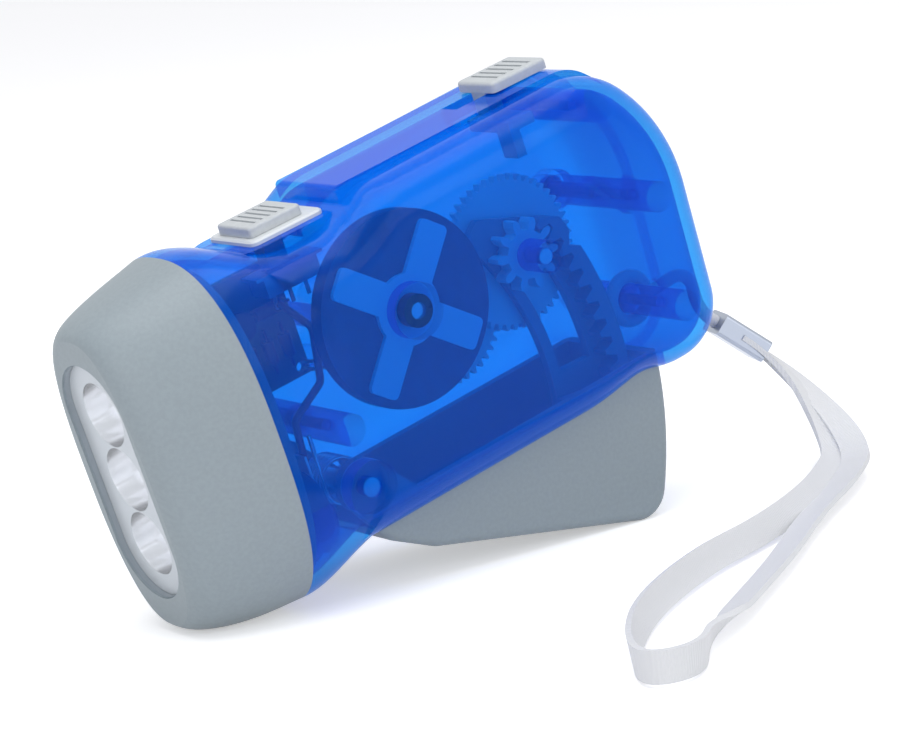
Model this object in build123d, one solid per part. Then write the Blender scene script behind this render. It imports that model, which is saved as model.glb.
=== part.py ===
"""Squeeze-powered torch: a hand lever drives a geared-up flywheel dynamo that feeds three LEDs.

Everything is drawn in the torch's own frame: X runs from the nose (0) to the tail, Z is up,
Y is across and the parting plane of the two shells is Y = 0. The last section tips the torch
nose down until it stands on its bezel and its lever, and writes one file per piece.
"""
from build123d import *
import os
from math import acos, asin, atan2, cos, degrees, hypot, pi, radians, sin, sqrt, tan

os.makedirs("parts", exist_ok=True)

# ---------------------------------------------------------------- driving dimensions (mm)
WALL = 2.0                   # moulded wall
GRIP_HALF = 17.0             # half width of the grip
TAIL_X = 104.9               # rearmost point of the shells
BELLY_Z = -20.3              # underside of the grip
SADDLE_Z = 25.2              # low part of the back, under the switch
BACK_Z = 29.4                # top of the grip behind the switch
EDGE_R = 6.4                 # rounding along both sides of the grip

HEAD_HALF_W = 18.6           # head outline where bezel and shells meet
HEAD_HALF_H = 28.4
HEAD_Z = 2.1
HEAD_POWER = 2.6             # squareness of the oval
SEAM_X = 17.8
LAMP_Z = 2.0                 # middle of the lamp row
LAMP_PITCH = 10.6
WINDOW_HALF_W = 8.6
WINDOW_HALF_H = 19.2

PIVOT = (31.9, -12.4)        # lever pivot (x, z)
SQUEEZE = 20.0               # lever travel in degrees
LEVER_HALF = 12.0            # half width of the lever
LEVER_WALL = 1.6
LEVER_R = 59.2               # the lever's rear wall is an arc about the pivot

RUN_FIT = 0.04               # radial clearance of turning fits
SECTOR_MODULE = 1.0
SECTOR_TEETH = 103
FIRST_PINION_TEETH = 10
TRAIN_MODULE = 0.5
FIRST_WHEEL_TEETH = 48
SECOND_PINION_TEETH = 12
SECOND_WHEEL_TEETH = 42
THIRD_PINION_TEETH = 12
FIRST_AXLE_ANGLE = 24.2      # first axle seen from the pivot, degrees above the X axis
FLYWHEEL_AXLE = (49.0, 9.0)  # (x, z)
FLYWHEEL_R = 15.3

LENS_X = 2.6                 # lens, reflector and lamp board, from the nose
LENS_HALF_W = 9.4
LENS_HALF_H = 20.0
REFLECTOR_X = 3.9
CUP_END_X = 12.6
BOARD_X = 15.4
LEVER_TOP_Z = -17.2          # upper edge of the lever's side walls
LEVER_CORNER_R = 5.2
SECTOR_R = 54.7
SECTOR_ROOF_Z = 25.6         # the closed sector ends here, under the shells' roof
STATOR_R = 11.3
SPRING_LEGS = (9.4, 15.0)    # straight ends of the return spring
CELL_R = 5.8
CELL_YZ = (-5.5, -13.6)
STRAP_HOLE_Z = -12.6
STRAP_D = 2.4                # round section that stands for the flat wrist strap
STRING_D = 2.2

# ---------------------------------------------------------------- derived places
LAMPS = [LAMP_Z + LAMP_PITCH * step for step in (-1, 0, 1)]
FIRST_AXLE_R = SECTOR_MODULE * (SECTOR_TEETH - FIRST_PINION_TEETH) / 2


def polar(center, radius, angle):
    """Point (x, z) at a radius and an angle in degrees from a centre."""
    return center[0] + radius * cos(radians(angle)), center[1] + radius * sin(radians(angle))


def second_axle_place():
    """The second axle closes the triangle between the first axle and the flywheel, on its lower side."""
    near = TRAIN_MODULE * (FIRST_WHEEL_TEETH + SECOND_PINION_TEETH) / 2
    far = TRAIN_MODULE * (SECOND_WHEEL_TEETH + THIRD_PINION_TEETH) / 2
    dx, dz = FLYWHEEL_AXLE[0] - FIRST_AXLE[0], FLYWHEEL_AXLE[1] - FIRST_AXLE[1]
    base = hypot(dx, dz)
    along = (base ** 2 + near ** 2 - far ** 2) / (2 * base)
    drop = sqrt(near ** 2 - along ** 2)
    ux, uz = dx / base, dz / base
    return FIRST_AXLE[0] + along * ux - drop * uz, FIRST_AXLE[1] + along * uz + drop * ux


FIRST_AXLE = polar(PIVOT, FIRST_AXLE_R, FIRST_AXLE_ANGLE)
SECOND_AXLE = second_axle_place()

# depths (y) of the layers, from the near wall inwards
FLYWHEEL_Y = (-11.5, -8.7)
STATOR_Y = (-8.4, -4.8)
SECTOR_Y = (-9.5, -6.4)
SECTOR_WEB_Y = (-6.4, -4.9)
FIRST_PINION_Y = (-9.3, -6.6)
FIRST_WHEEL_Y = (-4.4, -3.0)
SECOND_WHEEL_Y = (-2.5, -1.1)

SCREWS = ((91.5, 24.6), (97.4, 6.8), (96.6, -11.8), (31.4, -2.5))   # shell bosses (x, z)
STATOR_POSTS = (polar(FLYWHEEL_AXLE, 9.4, 168), polar(FLYWHEEL_AXLE, 9.4, 240))


# ---------------------------------------------------------------- drawing helpers
def slab(outline, y_low, y_high):
    """A flat piece: an outline drawn in X and Z, filled between two depths."""
    return extrude(Plane.XZ.offset(-y_high) * outline, amount=y_high - y_low)


def rod(center, radius, y_low, y_high):
    """A round bar across the torch."""
    return slab(Pos(*center) * Circle(radius), y_low, y_high)


def tube(center, radius, bore, y_low, y_high):
    return slab(Pos(*center) * (Circle(radius) - Circle(bore)), y_low, y_high)


def block(x, y, z):
    """A box from three (low, high) pairs."""
    size = [high - low for low, high in (x, y, z)]
    middle = [(low + high) / 2 for low, high in (x, y, z)]
    return Pos(*middle) * Box(*size)


def filled(points, radii):
    """A closed outline with one corner radius per point."""
    return make_face(FilletPolyline(*points, radius=radii, close=True))


def oval(x, half_w, half_h, z_mid, power, count=32):
    """A squared oval across the torch at one X."""
    points = []
    for step in range(count):
        turn = 2 * pi * step / count
        c, s = cos(turn), sin(turn)
        y = half_w * abs(c) ** (2 / power) * (1 if c >= 0 else -1)
        z = z_mid + half_h * abs(s) ** (2 / power) * (1 if s >= 0 else -1)
        points.append((x, y, z))
    return make_face(Spline(*points, periodic=True))


def turned(shape, angle):
    """Turn a piece about the lever pivot; a positive angle closes the lever."""
    pivot = Location((PIVOT[0], 0, PIVOT[1]))
    return pivot * Rot(Y=-angle) * pivot.inverse() * shape


# ---------------------------------------------------------------- gears
def flank_angle(radius, pitch_r, thickness):
    """Half the angle that an involute tooth of 20 degrees takes up at a radius."""
    base_r = pitch_r * cos(radians(20))
    at_pitch = tan(radians(20)) - radians(20)
    pressure = acos(min(1.0, base_r / radius))
    return thickness / (2 * pitch_r) + at_pitch - (tan(pressure) - pressure)


def tooth_points(pitch_r, radii, thickness, middle):
    """One tooth's outline, out along one flank and back along the other."""
    rising = [(r, middle - flank_angle(r, pitch_r, thickness)) for r in radii]
    falling = [(r, middle + flank_angle(r, pitch_r, thickness)) for r in reversed(radii)]
    return [(r * cos(a), r * sin(a)) for r, a in rising + falling]


def gear_outline(module, teeth, phase, addendum=0.85, dedendum=1.1, backlash=0.2):
    """A spur gear's outline about the origin; phase is the angle of a tooth in degrees."""
    pitch_r = module * teeth / 2
    root_r = pitch_r - dedendum * module
    radii = [root_r, pitch_r, pitch_r + addendum * module]
    if teeth < 20:
        radii.insert(2, pitch_r + addendum * module / 2)
    thickness = module * (pi / 2 - backlash)
    points = []
    for tooth in range(teeth):
        middle = radians(phase) + 2 * pi * tooth / teeth
        points += tooth_points(pitch_r, radii, thickness, middle)
    return make_face(Polyline(*points, close=True))


def gear(center, module, teeth, phase, bore, y_low, y_high):
    outline = gear_outline(module, teeth, phase)
    if bore:
        outline -= Circle(bore)
    return slab(Pos(*center) * outline, y_low, y_high)


def mesh_phase(driver_phase, driver_teeth, driven_teeth, line_angle):
    """Phase of a driven gear whose gap faces the driver's tooth on the line of centres."""
    offset = (driver_phase - line_angle) * driver_teeth / driven_teeth
    return line_angle + 180 - offset + 180 / driven_teeth


def bearing_angle(start, end):
    """Direction of the line from one axle to another, in degrees."""
    return degrees(atan2(end[1] - start[1], end[0] - start[0]))


FIRST_PINION_PHASE = FIRST_AXLE_ANGLE
FIRST_WHEEL_PHASE = 0.0
SECOND_PINION_PHASE = mesh_phase(FIRST_WHEEL_PHASE, FIRST_WHEEL_TEETH, SECOND_PINION_TEETH,
                                 bearing_angle(FIRST_AXLE, SECOND_AXLE))
SECOND_WHEEL_PHASE = 0.0
THIRD_PINION_PHASE = mesh_phase(SECOND_WHEEL_PHASE, SECOND_WHEEL_TEETH, THIRD_PINION_TEETH,
                                bearing_angle(SECOND_AXLE, FLYWHEEL_AXLE))


# ---------------------------------------------------------------- shells
def grip_outline():
    """Side view of the grip: hump before the tail at the bottom, wide sweep at the top."""
    corners = [
        ((27.0, BELLY_Z), 0), ((76.0, BELLY_Z), 40), ((86.0, BELLY_Z + 1.5), 14),
        ((91.6, BELLY_Z - 0.1), 14), ((103.6, BELLY_Z - 0.1), 9.5), ((TAIL_X, 17.4), 27.0),
        ((93.6, 30.4), 14.0), ((49.0, BACK_Z), 10), ((40.5, SADDLE_Z), 10), ((27.0, SADDLE_Z), 0),
    ]
    return filled([point for point, _ in corners], [radius for _, radius in corners])


def grip_body(inset):
    body = slab(offset(grip_outline(), amount=-inset) if inset else grip_outline(),
                -GRIP_HALF + inset, GRIP_HALF - inset)
    sides = body.faces().sort_by(Axis.Y)[0].edges() + body.faces().sort_by(Axis.Y)[-1].edges()
    return fillet(sides, EDGE_R - inset)


def collar_body(inset, front):
    """The flared throat between the head's oval and the grip."""
    middle = (SADDLE_Z + BELLY_Z) / 2
    height = (SADDLE_Z - BELLY_Z) / 2
    sections = [
        (front, HEAD_HALF_W, HEAD_HALF_H, HEAD_Z, HEAD_POWER),
        (23.0, 18.4, 27.6, HEAD_Z, 2.8),
        (29.0, 17.5, 24.6, 2.3, 3.8),
        (35.0, GRIP_HALF - 0.05, height + 0.1, middle, 6.5),
    ]
    return loft([oval(x, w - inset, h - inset, z, n) for x, w, h, z, n in sections])


def back_rail():
    """The raised rail along the back and the lower pad that carries the switch."""
    rail = slab(filled([(45.5, 22), (45.5, 30.4), (92.5, 31.0), (99.0, 25.0), (97, 22)],
                       [0, 0.8, 9.0, 3, 0]), -8.5, 8.5)
    pad = block((26.0, 46.5), (-8.3, 8.3), (20, 27.0))
    front_corners = pad.edges().filter_by(Axis.Z).sort_by(Axis.X)[:2]
    return rail + fillet(front_corners, 5.0)


def lever_slot():
    """The opening in the belly that the lever swings through."""
    slot_r = LEVER_R + 0.4
    swept = Pos(*PIVOT) * Circle(slot_r) & Pos(65, -21.5) * Rectangle(2 * (65 - 30.2), 11)
    return slab(swept, -LEVER_HALF - 0.35, LEVER_HALF + 0.35)


def bosses(side):
    """Everything that stands on the inside of one shell: side is -1 for the near shell, 1 for the far one."""
    wall = side * (GRIP_HALF - WALL + 0.3)

    def stand(center, radius, bore, end, depth):
        low, high = sorted((wall, end))
        post = rod(center, radius, low, high)
        bore_low, bore_high = sorted((end + side * depth, end))
        return post - rod(center, bore, bore_low, bore_high)

    made = stand(PIVOT, 4.2, 1.5 + RUN_FIT, side * (LEVER_HALF + 0.3), 2.4)
    if side < 0:
        for center in SCREWS:
            made += stand(center, 2.5, 0.9, -0.1, 9.0)
        made += stand(FIRST_AXLE, 2.6, 1.25 + RUN_FIT, -9.9, 4.2)
        made += stand(FLYWHEEL_AXLE, 4.4, 2.6, -12.7, 2.1)
    else:
        for center in SCREWS:
            made += stand(center, 2.5, 1.3, 0.1, 14.0)
            made += stand(center, 3.3, 1.3, 11.5, 3.0)
        for center in (FIRST_AXLE, FLYWHEEL_AXLE):
            made += stand(center, 3.0, 1.25 + RUN_FIT, 0.3, 3.0)
        made += stand(SECOND_AXLE, 3.0, 1.25, 0.3, 6.0)
        for center in STATOR_POSTS:
            made += stand(center, 1.8, 0.6, STATOR_Y[1], 4.0)
    return made


def throat(inset):
    """Inside of the two shells, from the seam to the tail."""
    return grip_body(inset) + collar_body(inset, SEAM_X)


def shell_blank():
    """Both shells in one, before the openings and bosses: outer skin less the cavity."""
    mouth = extrude(oval(SEAM_X - 1, HEAD_HALF_W - WALL, HEAD_HALF_H - WALL, HEAD_Z, HEAD_POWER), amount=4)
    return throat(0) + back_rail() - throat(WALL) - mouth


def cell_cradle():
    """A half ring and a rib on the near shell that the battery sits in."""
    ring = Plane.YZ.offset(20.9) * (Pos(*CELL_YZ) * (Circle(CELL_R + 1.2) - Circle(CELL_R + 0.1)))
    rib = block((20.9, 25.7), (CELL_YZ[0] - 1.2, CELL_YZ[0] + 1.2), (-25.2, CELL_YZ[1] - CELL_R - 0.3))
    lower = block((20, 27), (-20, 0), (-30, CELL_YZ[1] + 1.0))
    return (extrude(ring, amount=4.8) & lower) + rib


def shell(blank, side):
    """One of the two shells, with its openings and its bosses."""
    half = block((0, 120), (0, 30) if side > 0 else (-30, 0), (-40, 50))
    body = (blank & half) + bosses(side)
    if side < 0:
        body += cell_cradle() & collar_body(0.5, SEAM_X)
        body += slab(filled([(85.6, 14.4), (86.9, 14.9), (91.4, 8.4), (93.4, 12.2), (94.5, 11.6), (91.6, 6.2)],
                            [0.2] * 6), -15.6, -12.7)               # stiffening rib
    body -= lever_slot()
    body -= block((32.6, 41.4), (-2.1, 2.1), (20, 32))               # switch slot
    body -= block((74.4, 84.0), (-2.1, 2.1), (24, 34))               # lock slot
    body -= Pos(101, 0, STRAP_HOLE_Z) * Rot(Y=90) * Cylinder(1.7, 12)
    for center in SCREWS if side > 0 else ():
        body -= rod(center, 2.3, 13.2, 20)                           # screw head recess
    body -= rod(PIVOT, 1.5 + RUN_FIT, -14.5, 14.5)
    return body


def housing_screws():
    """Four pan-head screws, put in from the far side."""
    screws = []
    for center in SCREWS:
        head = fillet(rod(center, 2.1, 13.2, 14.8).edges().sort_by(Axis.Y)[-1], 0.6)
        cross = block((center[0] - 1.3, center[0] + 1.3), (14.0, 15), (center[1] - 0.25, center[1] + 0.25))
        screws.append(head + rod(center, 0.88, -8.0, 13.3) - cross)
    return Compound(screws)


# ---------------------------------------------------------------- head
def stadium(half_w, half_h):
    """Upright slot shape about the lamp row, drawn across the torch (Y, Z)."""
    return Pos(0, LAMP_Z) * SlotOverall(2 * half_h, 2 * half_w, rotation=90)


def across(outline, x_low, x_high):
    """A flat piece that faces the nose: an outline in Y and Z, filled between two X."""
    return extrude(Plane.YZ.offset(x_low) * outline, amount=x_high - x_low)


def bezel_dome(inset, front):
    """The bezel's bullet shape: half width, top and bottom at each X from the nose to the seam."""
    profile = [(0, 9.9, 25.0, -21.6), (1.0, 12.2, 26.2, -22.7), (3.4, 14.3, 27.3, -23.9),
               (8.0, 16.4, 28.5, -25.2), (12.8, 17.7, 29.5, -25.9),
               (SEAM_X, HEAD_HALF_W, HEAD_Z + HEAD_HALF_H, HEAD_Z - HEAD_HALF_H)]
    sections = []
    for x, half_w, top, bottom in profile:
        station = x + front * (1 - x / SEAM_X)
        sections.append(oval(station, half_w - inset, (top - bottom) / 2 - inset, (top + bottom) / 2, HEAD_POWER))
    return loft(sections)


def head_bezel():
    """Grey nose: domed shell, window, pocket for the lens and a spigot for the shells."""
    spigot_w, spigot_h = HEAD_HALF_W - WALL - 0.25, HEAD_HALF_H - WALL - 0.55
    spigot = (extrude(oval(SEAM_X - 2, spigot_w, spigot_h, HEAD_Z, HEAD_POWER), amount=4.6)
              - extrude(oval(SEAM_X - 3, spigot_w - 1.4, spigot_h - 1.4, HEAD_Z, HEAD_POWER), amount=6))
    body = bezel_dome(0, 0) - bezel_dome(WALL, LENS_X) + spigot
    body -= across(stadium(LENS_HALF_W + 0.1, LENS_HALF_H + 0.1), LENS_X, 9)
    pocket = across(stadium(10.8, 21.4) - stadium(LENS_HALF_W + 0.1, LENS_HALF_H + 0.1), LENS_X - 0.4, 5.2)
    body += pocket & bezel_dome(0.6, 0)
    window = across(stadium(WINDOW_HALF_W, WINDOW_HALF_H), -1, LENS_X + 1)
    return body - window


def reflector():
    """Silvered plate with three deep cups and two posts that carry the lamp board."""
    plate = across(stadium(LENS_HALF_W, LENS_HALF_H), REFLECTOR_X, REFLECTOR_X + 1.0)
    body = plate
    for z in LAMPS:
        body += cup_turned(z, 0.7, REFLECTOR_X, CUP_END_X)
    for z in LAMPS:
        body -= cup_turned(z, 0, REFLECTOR_X - 0.01, CUP_END_X + 0.5)
    for z in (LAMP_Z - 17.2, LAMP_Z + 17.2):
        body += Pos((REFLECTOR_X + BOARD_X) / 2, 0, z) * Rot(Y=90) * Cylinder(1.5, BOARD_X - REFLECTOR_X)
    return body


def cup_turned(z, skin, x_low, x_high):
    """A parabolic cup about a lamp's axis; the skin is what is added to its radius."""
    throat_r, mouth_r = 2.75, 5.15
    depth = CUP_END_X - REFLECTOR_X
    points = []
    for step in range(5):
        x = REFLECTOR_X + depth * step / 4
        r = throat_r + (mouth_r - throat_r) * sqrt(1 - step / 4)
        points.append((x, r + skin))
    curve = Spline(*points)
    start, end = curve @ 0, curve @ 1
    rim = [Line((x_low, start.Y), (start.X, start.Y))] if start.X - x_low > 1e-6 else []
    run = [Line((end.X, end.Y), (x_high, end.Y))] if x_high - end.X > 1e-6 else []
    close = Polyline((x_high, end.Y), (x_high, 0), (x_low, 0), (x_low, start.Y))
    face = make_face(Curve() + rim + [curve] + run + [close])
    return Pos(0, 0, z) * revolve(Plane.XZ * face, Axis.X)


def lamps():
    """Three 5 mm LEDs with dome, flange and leads."""
    made = []
    for z in LAMPS:
        dome = fillet((Pos(9.5, 0, z) * Rot(Y=90) * Cylinder(2.45, 7.0)).edges().sort_by(Axis.X)[0], 2.3)
        body = dome + Pos(13.55, 0, z) * Rot(Y=90) * Cylinder(2.9, 1.1)
        for lead in (-1.27, 1.27):
            body += block((14.0, BOARD_X + 2.2), (lead - 0.25, lead + 0.25), (z - 0.25, z + 0.25))
        made.append(body)
    return Compound(made)


def lamp_board():
    """Board behind the reflector, drilled for the LED leads."""
    board = across(stadium(8.4, 19.2), BOARD_X, BOARD_X + 1.6)
    for z in LAMPS:
        for lead in (-1.27, 1.27):
            board -= Pos(BOARD_X, lead, z) * Rot(Y=90) * Cylinder(0.45, 8)
    return board


# ---------------------------------------------------------------- lever
def lever_outline(inset, top):
    """Side view of the lever: sloping sole, rear wall as an arc about the pivot."""
    sole = tan(radians(-21.0))
    corner, toe = (40.9, -27.7), (33.6, -22.9)
    far = 97.0
    points = [(32.0, top), (far, top), (far, corner[1] + (far - corner[0]) * sole), corner, toe, (31.0, -19.4)]
    blank = filled(points, [0, 0, 0, 6.0, 5.0, 0.6])
    if inset:
        blank = offset(blank, amount=-inset) + Pos(66, top + 5) * Rectangle(66, 10 + 2 * inset)
    outline = blank & Pos(*PIVOT) * Circle(LEVER_R - inset)
    lowest = outline.vertices().sort_by(Axis.Y)[0]
    return fillet(lowest, LEVER_CORNER_R - inset)


def wedge(angle_low, angle_high, reach=90):
    """A pie slice about the lever pivot."""
    points = [(0, 0)] + [(reach * cos(radians(a)), reach * sin(radians(a)))
                         for a in (angle_low, (angle_low + angle_high) / 2, angle_high)]
    return Pos(*PIVOT) * make_face(Polyline(*points, close=True))


def annulus(inner, outer):
    return Pos(*PIVOT) * (Circle(outer) - Circle(inner))


def sector_top():
    """What lies below the shells' roof when the lever is closed, turned back to rest."""
    below = Pos(PIVOT[0], PIVOT[1]) * Rot(Z=-SQUEEZE) * Pos(0, SECTOR_ROOF_Z - PIVOT[1] - 60) * Rectangle(200, 120)
    return below


def sector():
    """Toothed ring segment inside the lever: internal teeth, a slotted web beside them, a latch notch."""
    pitch_r = SECTOR_MODULE * SECTOR_TEETH / 2
    tip_r, root_r = pitch_r - 0.8, pitch_r + 1.15
    ring = (annulus(tip_r, SECTOR_R) & wedge(-10, 45)) & sector_top()
    space = SECTOR_MODULE * (pi / 2 + 0.2)
    step = 360 / SECTOR_TEETH
    for tooth in range(-8, 2):
        middle = radians(FIRST_AXLE_ANGLE + tooth * step)
        ring -= Pos(*PIVOT) * make_face(Polyline(
            *tooth_points(pitch_r, [tip_r - 0.4, pitch_r, root_r], space, middle), close=True))
    web = annulus(41.5, LEVER_R - 1.2) & wedge(-42, -8)
    side = ((annulus(41.5, SECTOR_R) - (annulus(43.4, 49.6) & wedge(-2.5, 28.2))) & wedge(-9, 36)) & sector_top()
    body = slab(ring, *SECTOR_Y) + slab(side, *SECTOR_WEB_Y)
    body += slab(web & lever_outline(0.4, PIVOT[1] - 4.0), SECTOR_Y[0], SECTOR_WEB_Y[1])
    notch = turned(block((73.1, 75.9), (-11, -4), (20.8, 30)), -SQUEEZE)
    return body - notch


def squeeze_lever():
    """Grip channel with two pivot lugs and the toothed sector."""
    skin = slab(lever_outline(0, LEVER_TOP_Z), -LEVER_HALF, LEVER_HALF)
    rims = [e for face in (skin.faces().sort_by(Axis.Y)[0], skin.faces().sort_by(Axis.Y)[-1])
            for e in face.edges() if e.center().Z < LEVER_TOP_Z - 0.1]
    skin = fillet(rims, 1.5)
    hollow = slab(lever_outline(LEVER_WALL, LEVER_TOP_Z), -LEVER_HALF + LEVER_WALL, LEVER_HALF - LEVER_WALL)
    lug = Pos(*PIVOT) * Circle(4.2) + make_face(Polyline(
        (27.9, -13.6), (31.2, -19.2), (42.0, LEVER_TOP_Z - 1), (35.6, -10.6), close=True))
    body = skin - hollow
    for low in (-LEVER_HALF, LEVER_HALF - LEVER_WALL):
        body += slab(lug, low, low + LEVER_WALL)
    body += sector()
    body += block((40.6, 42.4), (-4.4, 3.0), (-27.0, -24.4))         # rib under the spring's leg
    body -= block((31.0, 34.6), (-1.5, 0.7), (-19.0, -16.5))         # notch for the spring's leg
    return body - rod(PIVOT, 1.5 + RUN_FIT, -20, 20)


def biarc(start, start_dir, end, end_dir):
    """Two arcs that leave one point and reach another along given directions."""
    gap = end - start
    both = start_dir + end_dir
    a, b, c = 2 * (1 - start_dir.dot(end_dir)), 2 * gap.dot(both), -gap.dot(gap)
    reach = -c / b if abs(a) < 1e-9 else (-b + sqrt(b * b - 4 * a * c)) / (2 * a)
    first, last = start + start_dir * reach, end - end_dir * reach
    joint = (first + last) * 0.5
    return [Edge.make_tangent_arc(start, start_dir, joint),
            Edge.make_tangent_arc(joint, (last - first).normalized(), end)]


def return_spring():
    """Torsion spring on the lever pin: one leg up to a shell boss, one down to the lever's rib."""
    radius, wire_r, pitch, steps = 3.45, 0.35, 1.15, 21
    first_angle, last_angle, y_start = 180, 180 + 5 * 360 + 56, -6.5
    step = (last_angle - first_angle) / steps

    def at(angle):
        turn = radians(angle)
        rise = pitch * (angle - first_angle) / 360
        place = Vector(PIVOT[0] + radius * cos(turn), y_start + rise, PIVOT[1] + radius * sin(turn))
        heading = Vector(-sin(turn) * radius, pitch / (2 * pi), cos(turn) * radius).normalized()
        return place, heading

    edges = []
    for number in range(steps):
        (p, d), (q, e) = at(first_angle + step * number), at(first_angle + step * (number + 1))
        edges += biarc(p, d, q, e)
    first, first_dir = at(first_angle)
    last, last_dir = at(last_angle)
    edges.insert(0, Edge.make_line(first - first_dir * SPRING_LEGS[0], first))
    edges.append(Edge.make_line(last, last + last_dir * SPRING_LEGS[1]))
    path = Wire(edges)
    section = Plane(origin=path @ 0, z_dir=path % 0) * Circle(wire_r)
    print("return spring: gap between turns", round(pitch - 2 * wire_r, 2))
    return sweep(section, path=path)


# ---------------------------------------------------------------- gear train and dynamo
def first_gear():
    body = gear(FIRST_AXLE, SECTOR_MODULE, FIRST_PINION_TEETH, FIRST_PINION_PHASE, 1.25, *FIRST_PINION_Y)
    body += tube(FIRST_AXLE, 2.3, 1.25, FIRST_PINION_Y[1], FIRST_WHEEL_Y[0])
    return body + gear(FIRST_AXLE, TRAIN_MODULE, FIRST_WHEEL_TEETH, FIRST_WHEEL_PHASE, 1.25, *FIRST_WHEEL_Y)


def second_gear():
    bore = 1.25 + RUN_FIT
    body = gear(SECOND_AXLE, TRAIN_MODULE, SECOND_PINION_TEETH, SECOND_PINION_PHASE, bore, *FIRST_WHEEL_Y)
    body += tube(SECOND_AXLE, 2.3, bore, FIRST_WHEEL_Y[1], SECOND_WHEEL_Y[0])
    return body + gear(SECOND_AXLE, TRAIN_MODULE, SECOND_WHEEL_TEETH, SECOND_WHEEL_PHASE, bore, *SECOND_WHEEL_Y)


def flywheel():
    """Heavy steel disc with a thick rim and a thinner web."""
    low, high = FLYWHEEL_Y
    body = tube(FLYWHEEL_AXLE, FLYWHEEL_R, 1.25, low, high)
    return body - tube(FLYWHEEL_AXLE, 12.0, 3.2, high - 1.2, high)


def rotor_cross():
    """Pale four-armed cross on the flywheel's near face."""
    low, high = FLYWHEEL_Y[0] - 0.8, FLYWHEEL_Y[0]
    arm = Pos(7.0, 0) * RectangleRounded(13.6, 5.2, 0.9)
    cross = Circle(5.6)
    for quarter in range(4):
        cross += Rot(Z=49 + 90 * quarter) * arm
    return slab(Pos(*FLYWHEEL_AXLE) * (cross - Circle(1.25)), low, high)


def stator_frame():
    """Steel cup with eight claws round the magnet; the shell's posts carry its back."""
    front, back = STATOR_Y
    body = tube(FLYWHEEL_AXLE, STATOR_R, 2.4, back - 0.5, back)
    body += tube(FLYWHEEL_AXLE, STATOR_R, STATOR_R - 0.5, front, back - 0.5)
    claw = Pos(7.5, 0) * Rectangle(0.5, 3.0)
    for number in range(8):
        body += slab(Pos(*FLYWHEEL_AXLE) * Rot(Z=45 * number) * claw, front + 0.2, back - 0.5)
    return body


def coil_bobbin():
    low, high = STATOR_Y[0] + 0.05, STATOR_Y[1] - 0.55
    core, rim, cheek = 7.95, STATOR_R - 0.6, 0.4
    body = tube(FLYWHEEL_AXLE, core + 0.45, core, low, high)
    return (body + tube(FLYWHEEL_AXLE, rim, core, low, low + cheek)
            + tube(FLYWHEEL_AXLE, rim, core, high - cheek, high))


def coil_winding():
    return tube(FLYWHEEL_AXLE, STATOR_R - 0.8, 8.4, STATOR_Y[0] + 0.45, STATOR_Y[1] - 0.95)


def magnet_ring():
    body = tube(FLYWHEEL_AXLE, 6.9, 1.25, STATOR_Y[0], STATOR_Y[1] - 0.9)
    return body + tube(FLYWHEEL_AXLE, 2.6, 1.25, FLYWHEEL_Y[1], STATOR_Y[0])


# ---------------------------------------------------------------- switch, lock and electrics
def switch_plate():
    """Pale plate on the pad, slotted for the switch stem."""
    plate = block((30.4, 43.8), (-6.6, 6.6), (27.0, 27.8))
    plate = fillet(plate.edges().filter_by(Axis.Z), 1.2)
    plate = chamfer(plate.faces().sort_by(Axis.Z)[-1].edges(), 0.3)
    return plate - block((32.8, 41.2), (-1.8, 1.8), (26, 29))


def switch_button():
    """Thumb slide with finger ridges and the stem that works the switch below."""
    cap = block((31.5, 41.2), (-4.9, 4.9), (27.85, 29.5))
    cap = fillet(cap.edges().filter_by(Axis.Z), 0.8)
    cap = fillet(cap.faces().sort_by(Axis.Z)[-1].edges(), 0.45)
    for ridge in range(5):
        middle = 33.6 + 1.35 * ridge
        cap -= block((middle - 0.25, middle + 0.25), (-3.6, 3.6), (29.25, 30))
    stem = block((34.6, 38.2), (-1.5, 1.5), (21.3, 28.2)) + block((35.8, 37.0), (-0.7, 0.7), (19.4, 21.4))
    return cap + stem


def switch_body():
    """Small slide switch below the pad, with its three pins."""
    can = block((32.4, 42.4), (-2.3, 2.3), (17.4, 20.9))
    can -= block((34.2, 40.6), (-0.9, 0.9), (19.0, 22))
    for pin in (34.4, 37.4, 40.4):
        can += block((pin - 0.3, pin + 0.3), (-0.15, 0.15), (14.6, 17.5))
    return can + block((31.2, 43.6), (-2.3, 2.3), (20.4, 20.9)) - block((34.2, 40.6), (-0.9, 0.9), (20, 22))


def lock_slider():
    """Slide on the rail; its foot drops beside the sector and its claw holds the closed lever."""
    cap = block((80.2, 91.4), (-4.9, 4.9), (31.15, 32.9))
    cap = fillet(cap.edges().filter_by(Axis.Z), 0.8)
    cap = fillet(cap.faces().sort_by(Axis.Z)[-1].edges(), 0.6)
    for ridge in range(5):
        middle = 82.6 + 1.6 * ridge
        cap -= block((middle - 0.3, middle + 0.3), (-3.6, 3.6), (32.6, 34))
    stem = block((80.5, 83.2), (-1.8, 1.8), (25.4, 31.4))
    foot = block((78.2, 83.2), (-9.0, 1.8), (25.4, 27.2))
    claw = block((78.2, 80.0), (-9.0, -5.3), (21.2, 25.6))
    return cap + stem + foot + claw


def battery_cell():
    middle = Pos(23.3, CELL_YZ[0], CELL_YZ[1]) * Rot(Y=90)
    can = middle * Cylinder(CELL_R, 5.4)
    return fillet(can.edges(), 0.4)


def cell_clips():
    """A contact strip on each side of the cell, with a solder tab."""
    y, z = CELL_YZ
    rear = block((26.0, 26.4), (y - 2.5, y + 2.5), (z - 3, z + 8.2))
    front = block((20.2, 20.6), (y - 2.5, y + 2.5), (z - 3, z + 8.2))
    return Compound([rear, front])


def main_board():
    board = block((22.0, 38.0), (3.2, 4.4), (2.2, 21.6))
    return board - rod((36.5, 3.6), 0.8, 0, 8) - rod((23.6, 20.0), 0.8, 0, 8)


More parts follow.
